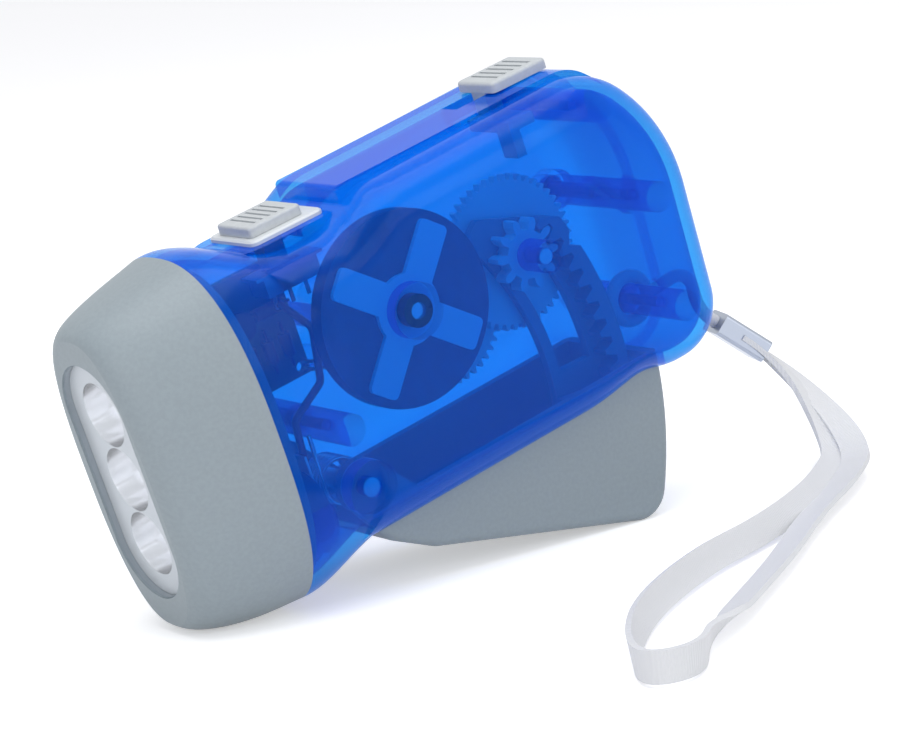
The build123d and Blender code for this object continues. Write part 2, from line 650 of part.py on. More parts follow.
def board_parts():
    """Rectifier diodes, a capacitor and a resistor on the near face of the board."""
    made = [Pos(26.6, 0.6, 15.2) * Rot(X=90) * Cylinder(2.4, 5.2)]
    for number in range(4):
        body = Pos(25.6 + 3.1 * number, 2.1, 8.4) * Cylinder(0.95, 3.6)
        made.append(body + Pos(25.6 + 3.1 * number, 2.1, 8.4) * Cylinder(0.25, 7.2))
    made.append(Pos(33.6, 2.0, 14.6) * Rot(Y=90) * (Cylinder(1.1, 5.0) + Cylinder(0.25, 8.2)))
    return Compound(made)


def bent(points, radius, wire_r):
    """A wire along straight runs with rounded corners."""
    path = FilletPolyline(*points, radius=radius)
    return sweep(Plane(origin=path @ 0, z_dir=path % 0) * Circle(wire_r), path=path)


def red_wire():
    """From the cell's rear strip up past the switch to its front pin."""
    y, z = CELL_YZ
    return bent([(27.2, y, z + 6.6), (27.3, y - 1, z + 13.5), (33.0, -7.8, z + 17.5), (35.0, -7.2, 12.0),
                 (34.4, -0.9, 15.6)], 1.6, 0.6)


def black_wire():
    """From the cell's front strip to the lamp board."""
    y, z = CELL_YZ
    return bent([(19.4, y, z + 7.0), (18.7, y + 1, z + 13), (18.6, -3.0, 8.0), (17.5, -3.0, 9.4)], 0.6, 0.55)


def lamp_wire():
    """From the lamp board to the main board."""
    return bent([(17.5, 4.0, 15.5), (20.5, 4.6, 15.5), (24.0, 8.6, 12.5), (26.0, 5.1, 12.5)], 0.9, 0.55)


def coil_wires():
    """Two enamelled leads from the coil to the main board."""
    made = []
    for lift in (0.0, 1.3):
        made.append(bent([(37.5, -6.6, 5.2 + lift), (36.3, -6.0, 4.8 + lift), (36.7, 0.4, 3.4 + lift),
                          (37.2, 3.1, 3.2 + lift)], 0.4, 0.3))
    return Compound(made)


# ---------------------------------------------------------------- strap
STRAP_ROUTE = [              # middle line of the strap's loop, standing frame (x, y, height over the floor)
    (126.2, -14.6, 3.4), (117.0, -22.3, 1.5), (103.6, -31.9, 1.5), (86.3, -40.8, 1.5),
    (69.0, -46.8, 1.5), (48.0, -59.3, 1.5), (33.4, -74.6, 1.5), (30.2, -82.6, 1.5), (38.0, -84.6, 1.5),
    (46.0, -76.6, 1.5), (63.1, -64.5, 1.5), (79.2, -53.5, 1.5), (98.6, -38.4, 1.5), (113.6, -29.4, 1.5),
    (129.2, -17.4, 3.4)]
CRIMP_START = Vector(114.2, 0, 26.3)
CRIMP_ALONG = Vector(0.74, -0.25, -0.625).normalized()
CRIMP_LONG = 9.6


def corner_radii(points, share=0.45):
    """For each inner corner the arc that leaves a straight run on both sides of it."""
    radii = []
    for before, here, after in zip(points, points[1:], points[2:]):
        into, out = Vector(*here) - Vector(*before), Vector(*after) - Vector(*here)
        half_turn = radians(into.get_angle(out)) / 2
        radii.append(share * min(into.length, out.length) / tan(half_turn))
    return radii


def cord(points, diameter, name):
    """A round cord of straight runs and tangent arcs."""
    radii = corner_radii(points)
    print(name, "bend radii", [round(r, 1) for r in radii])
    path = FilletPolyline(*points, radius=radii)
    print(name, "length", round(path.length, 1))
    return sweep(Plane(origin=path @ 0, z_dir=path % 0) * Circle(diameter / 2), path=path)


def crimp_plane():
    """Frame of the crimp: x across the strap, z along it."""
    across_it = Vector(0, 0, 1).cross(CRIMP_ALONG).normalized()
    return Plane(origin=CRIMP_START, x_dir=across_it, z_dir=CRIMP_ALONG)


def strap_crimp():
    """Folded metal sleeve: the string goes in at one end, both ends of the strap at the other."""
    plane = crimp_plane()
    sleeve = extrude(plane * RectangleRounded(6.8, 3.9, 0.7), amount=CRIMP_LONG)
    sleeve -= extrude(plane.offset(3.2) * RectangleRounded(5.8, 2.9, 0.3), amount=CRIMP_LONG)
    return sleeve - extrude(plane.offset(-1) * Circle(STRING_D / 2 + 0.05), amount=4.4)


def wrist_strap():
    plane = crimp_plane()
    side = STRAP_D / 2 + 0.16
    first, last = [[tuple(plane.from_local_coords((x, 0, CRIMP_LONG + z))) for z in (-5.2, 5.0)]
                   for x in (-side, side)]
    return cord(first + STRAP_ROUTE + last[::-1], STRAP_D, "wrist strap")


def strap_string(standing):
    """Looped round the rear boss, out through the tail's hole and down into the crimp."""
    boss = SCREWS[2]
    ring = Pos(boss[0], 0, boss[1]) * Rot(X=90) * Torus(3.7, STRING_D / 2)
    start = Vector(*(standing * Pos(100.2, 0, STRAP_HOLE_Z)).position)
    turn = Vector(*(standing * Pos(109.6, 0, STRAP_HOLE_Z + 0.6)).position)
    end = CRIMP_START + CRIMP_ALONG * 3.0
    points = [tuple(start), tuple(turn), tuple(CRIMP_START - CRIMP_ALONG * 3.5), tuple(end)]
    return standing * ring + cord(points, STRING_D, "strap string")


def make_all():
    blank = shell_blank()
    return {
        "head_bezel": head_bezel(),
        "lens": across(stadium(LENS_HALF_W, LENS_HALF_H), LENS_X + 0.02, REFLECTOR_X - 0.02),
        "reflector": reflector(),
        "lamps": lamps(),
        "lamp_board": lamp_board(),
        "left_housing": shell(blank, -1),
        "right_housing": shell(blank, 1),
        "housing_screws": housing_screws(),
        "switch_plate": switch_plate(),
        "switch_button": switch_button(),
        "switch_body": switch_body(),
        "lock_slider": lock_slider(),
        "squeeze_lever": squeeze_lever(),
        "lever_pin": rod(PIVOT, 1.5, -14.2, 14.2),
        "return_spring": return_spring(),
        "first_axle": rod(FIRST_AXLE, 1.25, -13.9, 3.1),
        "first_gear": first_gear(),
        "second_axle": rod(SECOND_AXLE, 1.25, -4.6, 6.2),
        "second_gear": second_gear(),
        "flywheel_axle": rod(FLYWHEEL_AXLE, 1.25, -14.4, 3.1),
        "flywheel_bush": tube(FLYWHEEL_AXLE, 2.6, 1.25 + RUN_FIT, -14.8, -12.75),
        "flywheel": flywheel(),
        "rotor_cross": rotor_cross(),
        "magnet_ring": magnet_ring(),
        "third_pinion": gear(FLYWHEEL_AXLE, TRAIN_MODULE, THIRD_PINION_TEETH, THIRD_PINION_PHASE, 1.25,
                             *SECOND_WHEEL_Y),
        "stator_frame": stator_frame(),
        "coil_bobbin": coil_bobbin(),
        "coil_winding": coil_winding(),
        "battery_cell": battery_cell(),
        "cell_clips": cell_clips(),
        "main_board": main_board(),
        "board_parts": board_parts(),
        "red_wire": red_wire(),
        "black_wire": black_wire(),
        "lamp_wire": lamp_wire(),
        "coil_wires": coil_wires(),
    }


# ---------------------------------------------------------------- standing on the bezel and the lever
def lowest(shape, tilt):
    return (Rot(Y=-tilt) * shape).bounding_box().min.Z


def standing_tilt(nose, lever):
    """Nose-down tilt at which both touch the floor."""
    low, high = 11.0, 15.0
    gap_low, gap_high = [lowest(nose, t) - lowest(lever, t) for t in (low, high)]
    for _ in range(5):
        middle = low - gap_low * (high - low) / (gap_high - gap_low)
        low, gap_low = high, gap_high
        high, gap_high = middle, lowest(nose, middle) - lowest(lever, middle)
        if abs(gap_high) < 0.002:
            break
    return high


def build():
    pieces = make_all()
    feet = bezel_dome(0, 0), slab(lever_outline(0, LEVER_TOP_Z), -1, 1)
    tilt = standing_tilt(*feet)
    floor = min(lowest(foot, tilt) for foot in feet)
    standing = Pos(0, 0, -floor) * Rot(Y=-tilt)
    pieces = {name: standing * piece for name, piece in pieces.items()}
    boxes = [pieces[name].bounding_box() for name in ("head_bezel", "left_housing", "right_housing")]
    middle_x = (min(b.min.X for b in boxes) + max(b.max.X for b in boxes)) / 2
    middle_y = (min(b.min.Y for b in boxes) + max(b.max.Y for b in boxes)) / 2
    pieces["strap_string"] = strap_string(standing)
    pieces["strap_crimp"] = strap_crimp()
    pieces["wrist_strap"] = wrist_strap()
    center = Pos(-middle_x, -middle_y, 0)
    print("tilt", round(tilt, 4), "floor", round(floor, 4), "middle", round(middle_x, 4), round(middle_y, 4))
    for label, (x, z) in (("pivot", PIVOT), ("first axle", FIRST_AXLE), ("second axle", SECOND_AXLE),
                          ("flywheel axle", FLYWHEEL_AXLE)):
        print(label, [round(v, 4) for v in (center * standing * Pos(x, 0, z)).position])
    for name, piece in pieces.items():
        export_step(center * piece, f"parts/{name}.step")


build()
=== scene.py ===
# %% [markdown]
# # A squeeze-powered torch with a see-through blue housing
#
# The torch stands nose down on its grey bezel and on its grey lever. Through the blue shells
# one sees a flywheel with a pale cross, the gears, the wires and the screw posts. The solids
# come ready made, each where it belongs; this lesson gives them their finishes, adds what is
# too fine or too soft for the solids, and sets floor, light and camera.

# %% Load the solids
import bpy
from math import cos, radians, sin
from mathutils import Matrix, Vector


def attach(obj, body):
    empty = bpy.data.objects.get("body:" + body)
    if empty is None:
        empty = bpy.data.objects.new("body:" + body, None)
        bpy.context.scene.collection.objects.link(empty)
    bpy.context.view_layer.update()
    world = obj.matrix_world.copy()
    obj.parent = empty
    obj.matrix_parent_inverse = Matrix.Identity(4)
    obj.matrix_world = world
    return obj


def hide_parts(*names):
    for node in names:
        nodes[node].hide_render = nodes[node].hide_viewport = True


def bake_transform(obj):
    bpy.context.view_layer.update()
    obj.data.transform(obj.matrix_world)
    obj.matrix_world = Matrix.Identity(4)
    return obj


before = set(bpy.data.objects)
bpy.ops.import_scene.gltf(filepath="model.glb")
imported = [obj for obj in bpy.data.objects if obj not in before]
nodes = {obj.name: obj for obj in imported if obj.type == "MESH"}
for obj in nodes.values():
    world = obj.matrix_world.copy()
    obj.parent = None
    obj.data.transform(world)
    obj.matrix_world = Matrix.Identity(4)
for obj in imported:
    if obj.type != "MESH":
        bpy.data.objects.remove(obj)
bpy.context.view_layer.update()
print("solids:", len(nodes))

# %% [markdown]
# The torch's own frame has X from nose to tail. The part stands tipped nose down, so a small
# helper turns a place measured on the torch into a place in the room. Pieces are measured on
# the torch, as one would measure the real one. Their sizes are in millimetres where a helper
# divides them by a thousand, and in metres where they go straight into Blender.
#
# The torch is tipped by TILT, lifted by FLOOR_SHIFT until it touches the floor, and moved by
# MIDDLE_X so that its middle stands over the origin. STAND is the same move for whole meshes.

# %% From the torch's own frame to the room
TILT = radians(13.4736)
FLOOR_SHIFT = 22.6655
MIDDLE_X = 49.0186


def place(x, y, z):
    """A point measured on the torch (mm) as a point in the room (m)."""
    across = x * cos(TILT) - z * sin(TILT) - MIDDLE_X
    up = x * sin(TILT) + z * cos(TILT) + FLOOR_SHIFT
    return Vector((across, y, up)) / 1000


def heading(x, y, z):
    """A direction on the torch as a direction in the room."""
    return Vector((x * cos(TILT) - z * sin(TILT), y, x * sin(TILT) + z * cos(TILT)))


STAND = Matrix((
    (cos(TILT), 0, -sin(TILT), -MIDDLE_X / 1000),
    (0, 1, 0, 0),
    (sin(TILT), 0, cos(TILT), FLOOR_SHIFT / 1000),
    (0, 0, 0, 1)))
print("nose tip stands at", [round(v, 4) for v in place(0, 0, 2)])

# %% [markdown]
# Modelling goes as by hand: add a primitive, shape it, apply its place. Operators act on all
# that is selected, so one helper clears the selection, and one bakes an object's place into
# its mesh and stands it on the floor with the torch.

# %% Two helpers for modelling by hand
SMOOTH_BELOW = radians(35)


def clear_selection():
    """Leave edit mode and select nothing."""
    if bpy.context.object and bpy.context.object.mode != "OBJECT":
        bpy.ops.object.mode_set(mode="OBJECT")
    bpy.ops.object.select_all(action="DESELECT")


def settle(piece, body, name):
    """Bake the piece's place into its mesh, stand it with the torch and let it ride on a body."""
    clear_selection()
    piece.select_set(True)
    bpy.context.view_layer.objects.active = piece
    bpy.ops.object.transform_apply(location=True, rotation=True, scale=True)
    piece.data.transform(STAND)
    piece.name = name
    piece.data.name = name
    bpy.ops.object.shade_smooth_by_angle(angle=SMOOTH_BELOW)
    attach(piece, body)


clear_selection()
print("nothing is selected")

# %% [markdown]
# ## Finishes
#
# Most pieces are moulded plastic: a Principled shader with one colour, and a faint mottling
# from a noise texture so that the surface isn't dead flat. The bump is tiny, as on a part
# from a spark-eroded mould.

# %% A maker for plain finishes
MOULD_RELIEF = 0.0001


def finish(name, colour, rough=0.5, metal=0.0, grain=0.0, grain_size=900.0, bump=0.0):
    """A Principled material; grain varies the colour a little and bump roughens the light."""
    material = bpy.data.materials.new(name)
    material.use_nodes = True
    tree = material.node_tree
    shader = tree.nodes["Principled BSDF"]
    shader.inputs["Base Color"].default_value = (*colour, 1)
    shader.inputs["Roughness"].default_value = rough
    shader.inputs["Metallic"].default_value = metal
    if grain or bump:
        coords = tree.nodes.new("ShaderNodeTexCoord")
        noise = tree.nodes.new("ShaderNodeTexNoise")
        noise.inputs["Scale"].default_value = grain_size
        noise.inputs["Detail"].default_value = 3
        tree.links.new(coords.outputs["Object"], noise.inputs["Vector"])
    if grain:
        ramp = tree.nodes.new("ShaderNodeValToRGB")
        ramp.color_ramp.elements[0].position = 0.35
        ramp.color_ramp.elements[1].position = 0.65
        ramp.color_ramp.elements[0].color = (*[c * (1 - grain) for c in colour], 1)
        ramp.color_ramp.elements[1].color = (*[min(1, c * (1 + grain)) for c in colour], 1)
        tree.links.new(noise.outputs["Fac"], ramp.inputs["Fac"])
        tree.links.new(ramp.outputs["Color"], shader.inputs["Base Color"])
    if bump:
        relief = tree.nodes.new("ShaderNodeBump")
        relief.inputs["Strength"].default_value = bump
        relief.inputs["Distance"].default_value = MOULD_RELIEF
        tree.links.new(noise.outputs["Fac"], relief.inputs["Height"])
        tree.links.new(relief.outputs["Normal"], shader.inputs["Normal"])
    return material


print("finish maker ready")

# %% [markdown]
# The colours are read off the photo by eye and then set against a render. Greys of moulded
# plastic get a little mottling, metals get their shine from Metallic, and the flywheel is dark
# and uneven like pressed sheet steel.

# %% Plain finishes
bezel_grey = finish("bezel grey", (0.27, 0.32, 0.35), 0.48, grain=0.03, grain_size=1500, bump=0.18)
lever_grey = finish("lever grey", (0.25, 0.3, 0.33), 0.46, grain=0.03, grain_size=1500, bump=0.18)
button_grey = finish("button grey", (0.5, 0.53, 0.55), 0.45, grain=0.03, grain_size=1500, bump=0.12)
# Painted highlight: the switch plate is the button's grey plastic, painted lighter for the light that falls
# on it.
plate_painted_highlight = finish("switch plate painted highlight", (0.66, 0.69, 0.71), 0.42)
steel = finish("axle steel", (0.72, 0.73, 0.75), 0.25, metal=1.0)
dark_steel = finish("flywheel steel", (0.075, 0.085, 0.12), 0.42, metal=0.35, grain=0.2, grain_size=500)
screw_steel = finish("screw steel", (0.62, 0.63, 0.66), 0.3, metal=1.0)
nylon = finish("natural nylon", (0.78, 0.8, 0.78), 0.45)
cross_white = finish("cross nylon", (0.86, 0.9, 0.93), 0.4)
bush_black = finish("bush black", (0.02, 0.022, 0.03), 0.5)
ferrite = finish("ferrite", (0.05, 0.05, 0.055), 0.6, grain=0.15)
zinc = finish("zinc plate", (0.5, 0.52, 0.55), 0.38, metal=1.0)
copper = finish("enamelled copper", (0.62, 0.25, 0.09), 0.35, metal=0.9)
board_green = finish("board green", (0.03, 0.16, 0.07), 0.4)
part_black = finish("component black", (0.02, 0.02, 0.022), 0.35)
red_vinyl = finish("red vinyl", (0.75, 0.02, 0.015), 0.35)
black_vinyl = finish("black vinyl", (0.015, 0.015, 0.018), 0.35)
cell_sleeve = finish("cell sleeve", (0.09, 0.09, 0.16), 0.35)
silver = finish("metallised plate", (0.97, 0.97, 0.97), 0.12, metal=0.9)
rim_silver = finish("cup rims", (0.62, 0.64, 0.63), 0.35, metal=0.3)
pale_bobbin = finish("bobbin", (0.7, 0.68, 0.6), 0.5)
# Painted reflection: the crimp's steel is darkened and tinted blue for the dark and blue surroundings it
# mirrors.
crimp_steel_painted_reflection = finish("crimp steel with painted reflection", (0.4, 0.44, 0.52), 0.28, metal=1.0)
print("plain finishes made")

# %% [markdown]
# ## The see-through blue
#
# The shells are tinted clear plastic. Light that goes straight through a wall is dyed, so the
# material mixes a dyed Transparent shader with a glossy blue Principled one. Layer Weight
# gives more gloss at grazing angles, and the straight path keeps the inside evenly lit.

# %% Tinted plastic
EDGE_BLEND = 0.22


def tinted(name, dye, surface, share, rough=0.12, most=0.9):
    """Clear plastic: the dye colours what is seen through it, share is how much it hides."""
    material = bpy.data.materials.new(name)
    material.use_nodes = True
    tree = material.node_tree
    shader = tree.nodes["Principled BSDF"]
    shader.inputs["Base Color"].default_value = (*surface, 1)
    shader.inputs["Roughness"].default_value = rough
    through = tree.nodes.new("ShaderNodeBsdfTransparent")
    through.inputs["Color"].default_value = (*dye, 1)
    edge = tree.nodes.new("ShaderNodeLayerWeight")
    edge.inputs["Blend"].default_value = EDGE_BLEND
    spread = tree.nodes.new("ShaderNodeMapRange")
    spread.inputs["From Min"].default_value = 0.0
    spread.inputs["From Max"].default_value = 1.0
    spread.inputs["To Min"].default_value = share
    spread.inputs["To Max"].default_value = most
    mix = tree.nodes.new("ShaderNodeMixShader")
    tree.links.new(edge.outputs["Facing"], spread.inputs["Value"])
    tree.links.new(spread.outputs["Result"], mix.inputs["Fac"])
    tree.links.new(through.outputs["BSDF"], mix.inputs[1])
    tree.links.new(shader.outputs["BSDF"], mix.inputs[2])
    tree.links.new(mix.outputs["Shader"], tree.nodes["Material Output"].inputs["Surface"])
    return material


housing_blue = tinted("housing blue", (0.24, 0.73, 1.0), (0.0, 0.12, 0.8), 0.14, most=1.0)
lens_clear = tinted("clear lens", (0.97, 0.98, 1.0), (0.75, 0.78, 0.8), 0.0, rough=0.03, most=0.35)
lamp_clear = tinted("lamp epoxy", (0.95, 0.97, 0.98), (0.96, 0.97, 0.98), 0.55, rough=0.05)
print("tinted finishes made")

# %% [markdown]
# ## Woven strap
#
# The wrist strap is a soft white tape. Its weave is far finer than a pixel here, but up close
# a wave texture gives it fine ribs, and a little sheen gives it the soft edge of cloth.

# %% Strap finish
WEAVE_SCALE = 700
WEAVE_RELIEF = 0.0002


def woven(name, colour):
    """A rough white finish with the fine ribs of a woven tape."""
    material = finish(name, colour, 0.85)
    tree = material.node_tree
    shader = tree.nodes["Principled BSDF"]
    coords = tree.nodes.new("ShaderNodeTexCoord")
    weave = tree.nodes.new("ShaderNodeTexWave")
    weave.inputs["Scale"].default_value = WEAVE_SCALE
    weave.inputs["Distortion"].default_value = 1.5
    relief = tree.nodes.new("ShaderNodeBump")
    relief.inputs["Strength"].default_value = 0.25
    relief.inputs["Distance"].default_value = WEAVE_RELIEF
    tree.links.new(coords.outputs["Object"], weave.inputs["Vector"])
    tree.links.new(weave.outputs["Fac"], relief.inputs["Height"])
    tree.links.new(relief.outputs["Normal"], shader.inputs["Normal"])
    shader.inputs["Sheen Weight"].default_value = 0.3
    return material


strap_white = woven("strap white", (0.7, 0.71, 0.73))
string_white = woven("string white", (0.68, 0.69, 0.71))
print("strap finishes made")

# %% [markdown]
# Each solid gets its finish. The list reads like the parts list of the torch.

# %% Finish each solid
FINISHES = {
    "head_bezel": bezel_grey, "squeeze_lever": lever_grey, "lens": lens_clear, "reflector": silver,
    "lamps": lamp_clear, "lamp_board": board_green, "left_housing": housing_blue,
    "right_housing": housing_blue, "housing_screws": screw_steel, "switch_plate": plate_painted_highlight,
    "switch_button": button_grey, "switch_body": zinc, "lock_slider": button_grey, "lever_pin": steel,
    "return_spring": steel, "first_axle": steel, "second_axle": steel, "flywheel_axle": steel,
    "first_gear": nylon, "second_gear": nylon, "third_pinion": nylon, "flywheel_bush": bush_black,
    "flywheel": dark_steel, "rotor_cross": cross_white, "magnet_ring": ferrite, "stator_frame": zinc,
    "coil_bobbin": pale_bobbin, "coil_winding": copper, "battery_cell": cell_sleeve,
    "cell_clips": screw_steel, "main_board": board_green, "board_parts": part_black,
    "red_wire": red_vinyl, "black_wire": black_vinyl, "lamp_wire": red_vinyl, "coil_wires": copper,
    "strap_string": string_white, "strap_crimp": crimp_steel_painted_reflection, "wrist_strap": strap_white}
for node, material in FINISHES.items():
    nodes[node].data.materials.clear()
    nodes[node].data.materials.append(material)
print("finished", len(FINISHES), "of", len(nodes))

# %% [markdown]
# ## The lamps' insides
#
# A clear LED shows a silvery cup inside its dome, and the cup holds a pale yellow dot of
# phosphor. They are small, so a bevelled cone and a flattened sphere do.

# %% Lamp cups and dots
phosphor = finish("phosphor", (0.95, 0.85, 0.3), 0.5)
LAMP_MIDDLE = 2.0
LAMP_PITCH = 10.6
LAMP_ROW = [LAMP_MIDDLE + LAMP_PITCH * step for step in (-1, 0, 1)]
CUP_BEHIND_NOSE = 0.0098
DOT_BEHIND_NOSE = 0.0089
BESIDE_AXIS = 0.0004


def lamp_inside(height):
    """The cup and the dot of one LED, on the LED's axis."""
    bpy.ops.mesh.primitive_cone_add(vertices=24, radius1=0.0011, radius2=0.0006, depth=0.0016,
                                    location=(CUP_BEHIND_NOSE, BESIDE_AXIS, height / 1000),
                                    rotation=(0, radians(90), 0))
    cup = bpy.context.object
    bpy.ops.object.mode_set(mode="EDIT")
    bpy.ops.mesh.select_all(action="SELECT")
    bpy.ops.mesh.bevel(offset=0.0001, segments=1)
    bpy.ops.object.mode_set(mode="OBJECT")
    cup.data.materials.append(silver)
    bpy.ops.mesh.primitive_uv_sphere_add(segments=20, ring_count=12, radius=0.0008,
                                         location=(DOT_BEHIND_NOSE, BESIDE_AXIS, height / 1000),
                                         scale=(0.35, 1, 1))
    dot = bpy.context.object
    dot.data.materials.append(phosphor)
    return cup, dot


for number, height in enumerate(LAMP_ROW):
    cup, dot = lamp_inside(height)
    settle(cup, "frame", f"lamp_cup_{number + 1}")
    settle(dot, "frame", f"lamp_dot_{number + 1}")
print("three lamps filled")

# %% [markdown]
# ## Lens and bright cups
#
# The lens sits almost flush in the window, and right behind it three bright cups gather the
# lamps' light. Lens and plate have the window's slot shape: a block whose four short edges,
# the ones that run through its thickness, are bevelled by half its width.

# %% The slot-shaped block
WINDOW_HALF = (8.45, 19.05)
WINDOW_MIDDLE = 0.002
ROUND_STEPS = 20


def slot_block(x_low, x_high, half_w, half_h):
    """A block across the torch whose outline is a slot with round ends."""
    bpy.ops.mesh.primitive_cube_add(size=1, location=((x_low + x_high) / 2000, 0, WINDOW_MIDDLE),
                                    scale=((x_high - x_low) / 1000, half_w / 500, half_h / 500))
    block = bpy.context.object
    bpy.ops.object.transform_apply(location=True, rotation=False, scale=True)
    bpy.ops.object.mode_set(mode="EDIT")
    bpy.ops.mesh.select_mode(type="EDGE")
    bpy.ops.mesh.select_all(action="DESELECT")
    bpy.ops.object.mode_set(mode="OBJECT")
    for edge in block.data.edges:
        a, b = (block.data.vertices[v].co for v in edge.vertices)
        edge.select = abs(a.x - b.x) > 1e-5
    bpy.ops.object.mode_set(mode="EDIT")
    bpy.ops.mesh.bevel(offset=half_w * 0.998 / 1000, segments=ROUND_STEPS)
    bpy.ops.object.mode_set(mode="OBJECT")
    print("slot block:", len(block.data.polygons), "faces")
    return block


clear_selection()
front_plate = slot_block(1.3, 1.7, *WINDOW_HALF)

# %% [markdown]
# Each cup is half a ball, stretched along its axis. Bisect cuts the ball open at the front and,
# round the lamp, at the back. Solidify then gives the shell a thin wall on its outside, so that
# its inside, the face one sees, keeps its size and has a face of its own.

# %% One cup
CUP_RADIUS = 0.0052
CUP_STRETCH = 1.9
CUP_FRONT = 0.0015
CUP_BACK = 0.0106
CUP_WALL = 0.00015


def bright_cup(height):
    """Half of a stretched ball, open to the front and round the lamp at the back."""
    bpy.ops.mesh.primitive_uv_sphere_add(segments=48, ring_count=32, radius=CUP_RADIUS,
                                         location=(CUP_FRONT, 0, height / 1000), scale=(CUP_STRETCH, 1, 1))
    cup = bpy.context.object
    bpy.ops.object.transform_apply(location=True, rotation=True, scale=True)
    for x, outside in ((CUP_FRONT, True), (CUP_BACK, False)):
        bpy.ops.object.mode_set(mode="EDIT")
        bpy.ops.mesh.select_all(action="SELECT")
        bpy.ops.mesh.bisect(plane_co=(x, 0, 0), plane_no=(1, 0, 0),
                            clear_inner=outside, clear_outer=not outside)
        bpy.ops.object.mode_set(mode="OBJECT")
    wall = cup.modifiers.new("wall", "SOLIDIFY")
    wall.thickness = CUP_WALL
    wall.offset = 1
    bpy.ops.object.modifier_apply(modifier=wall.name)
    return cup


cups = [bright_cup(height) for height in LAMP_ROW]
print("cups:", [len(cup.data.polygons) for cup in cups], "faces")

# %% [markdown]
# The plate gets three round holes, a hair smaller than the cups' mouths. Then plate and cups
# are joined into one piece, as they are moulded and silvered as one. The flat front of the
# plate looks duller than the cups, so its faces get a finish of their own.

# %% The plate with its cups
HOLE_RADIUS = 0.00519
PLATE_FRONT_ENDS = 0.00165


def cut_with(piece, tool):
    """Take the tool's shape out of the piece and throw the tool away."""
    bpy.context.view_layer.objects.active = piece
    hole = piece.modifiers.new("hole", "BOOLEAN")
    hole.operation = "DIFFERENCE"
    hole.object = tool
    bpy.ops.object.modifier_apply(modifier=hole.name)
    bpy.data.objects.remove(tool)


for height in LAMP_ROW:
    bpy.ops.mesh.primitive_cylinder_add(vertices=48, radius=HOLE_RADIUS, depth=0.004,
                                        location=(CUP_FRONT, 0, height / 1000), rotation=(0, radians(90), 0))
    cut_with(front_plate, bpy.context.object)
clear_selection()
for piece in cups + [front_plate]:
    piece.select_set(True)
bpy.context.view_layer.objects.active = front_plate
bpy.ops.object.join()
front_plate.data.materials.clear()
front_plate.data.materials.append(silver)
front_plate.data.materials.append(rim_silver)
for face in front_plate.data.polygons:
    face.material_index = 1 if face.center.x < PLATE_FRONT_ENDS and abs(face.normal.x) > 0.9 else 0
settle(front_plate, "frame", "bright_cups")
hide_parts("reflector")
print("plate and cups:", len(front_plate.data.polygons), "faces")

# %% [markdown]
# The lens is the same slot shape, a little thicker than the plate and right in front of it.

# %% The lens
clear_selection()
window_lens = slot_block(0.25, 1.15, *WINDOW_HALF)
window_lens.data.materials.append(lens_clear)
settle(window_lens, "frame", "window_lens")
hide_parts("lens")
print("lens:", len(window_lens.data.polygons), "faces")

# %% [markdown]
# ## Return spring
#
# The spring's long leg rests on the lever and moves with it, while the other leg stays on the
# shell. Its coil lies round the pin. A copy of the spring, with its doubled points merged and
# its faces smoothed, takes the place of the solid.

# %% A copy of the spring
clear_selection()
spring_solid = nodes["return_spring"]
spring = bpy.data.objects.new("bent_spring", spring_solid.data.copy())
bpy.context.scene.collection.objects.link(spring)
spring.select_set(True)
bpy.context.view_layer.objects.active = spring
bpy.ops.object.mode_set(mode="EDIT")
bpy.ops.mesh.select_all(action="SELECT")
bpy.ops.mesh.remove_doubles(threshold=1e-7)
bpy.ops.object.mode_set(mode="OBJECT")
bpy.ops.object.shade_smooth_by_angle(angle=radians(40))
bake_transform(spring)
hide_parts("return_spring")
print("spring vertices:", len(spring.data.vertices))

# %% [markdown]
# ## Wrist strap
#
# The real strap is a flat tape, one loop that begins and ends in the metal crimp. First comes
# its route: from inside the crimp to the floor, round the far turn and back, in a dozen or so
# listed points. At the crimp the two ends lie side by side, each half the gap from the
# crimp's own line.

# %% The route of the strap
IN_CRIMP = -5.2
PAST_CRIMP = 5.0
CRIMP_START = Vector((114.2, 0, 26.3))
CRIMP_ALONG = Vector((0.74, -0.25, -0.625)).normalized()
CRIMP_LONG = 9.6
ACROSS = Vector((0, 0, 1)).cross(CRIMP_ALONG).normalized()
HALF_GAP = 1.36
LOOP = [
    (126.2, -14.6, 3.4), (117.0, -22.3, 2.6), (103.6, -31.9, 2.6), (86.3, -40.8, 2.6),
    (69.0, -46.8, 2.6), (48.0, -59.3, 2.6), (33.4, -74.6, 2.6), (30.2, -82.6, 2.6), (38.0, -84.6, 2.6),
    (46.0, -76.6, 2.4), (63.1, -64.5, 2.0), (79.2, -53.5, 2.0), (98.6, -38.4, 2.0), (113.6, -29.4, 2.4),
    (129.2, -17.4, 3.4)]


def crimp_point(side, along):
    """A point beside the crimp's line, measured along it from its far end."""
    return CRIMP_START + ACROSS * side + CRIMP_ALONG * (CRIMP_LONG + along)


def in_room(points):
    """Points in mm along the floor, with x 0 under the torch's own origin, in the room (m)."""
    return [(Vector(p) - Vector((MIDDLE_X, 0, 0))) / 1000 for p in points]


strap_route = in_room([crimp_point(-HALF_GAP, along) for along in (IN_CRIMP, PAST_CRIMP)] + LOOP
                      + [crimp_point(HALF_GAP, along) for along in (PAST_CRIMP, IN_CRIMP)])
print("the strap is led by", len(strap_route), "points")

# %% [markdown]
# A NURBS curve doesn't pass through its control points but is led by them, and so it stays as
# smooth as a cloth tape. Its line is read back from the curve, and gives the strap's length.

# %% A smooth line led by the route


